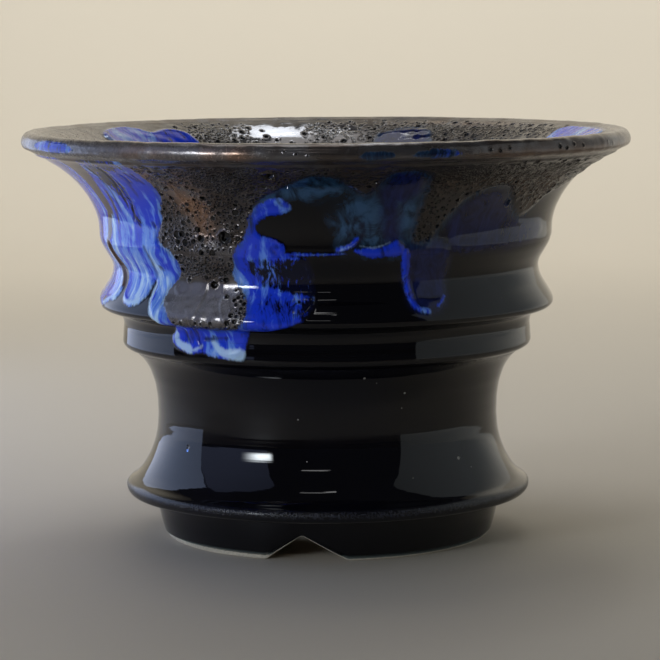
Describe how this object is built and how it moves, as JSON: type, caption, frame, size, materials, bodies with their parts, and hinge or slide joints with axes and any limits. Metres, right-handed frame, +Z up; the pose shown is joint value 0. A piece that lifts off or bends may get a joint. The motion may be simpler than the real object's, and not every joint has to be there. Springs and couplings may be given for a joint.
{
  "type": "plant pot",
  "caption": "Round ribbed ceramic plant pot with a flared lip, narrow waist, notched foot ring, drain hole and run glazes over black.",
  "frame": {"origin": "on the surface the pot stands on, under the middle of the foot ring", "axes": "+Z up along the pot's axis; -Y is the side the picture shows, with one notch just left of it"},
  "size_m": [0.132, 0.132, 0.0885],
  "materials": {
    "bare_clay": "matte unglazed stoneware",
    "black_glaze": "glossy near-black",
    "bronze_glaze": "satin grey-bronze, metallic",
    "crater_glaze": "satin brown-grey with burst craters",
    "blue_glaze": "glossy streaked blue"
  },
  "bodies": {
    "root": {"clay_body": "bare_clay", "foot_ring": "bare_clay", "black_glaze": "black_glaze", "rim_glaze": "bronze_glaze", "inner_glaze": "bronze_glaze", "crater_glaze_front": "crater_glaze", "crater_glaze_back": "crater_glaze", "blue_run_left": "blue_glaze", "blue_drip": "blue_glaze", "blue_run_centre": "blue_glaze", "blue_swirl": "blue_glaze", "blue_run_right": "blue_glaze", "blue_patch_right": "blue_glaze", "blue_run_back_right": "blue_glaze", "blue_run_back_left": "blue_glaze"}
  },
  "joints": []
}
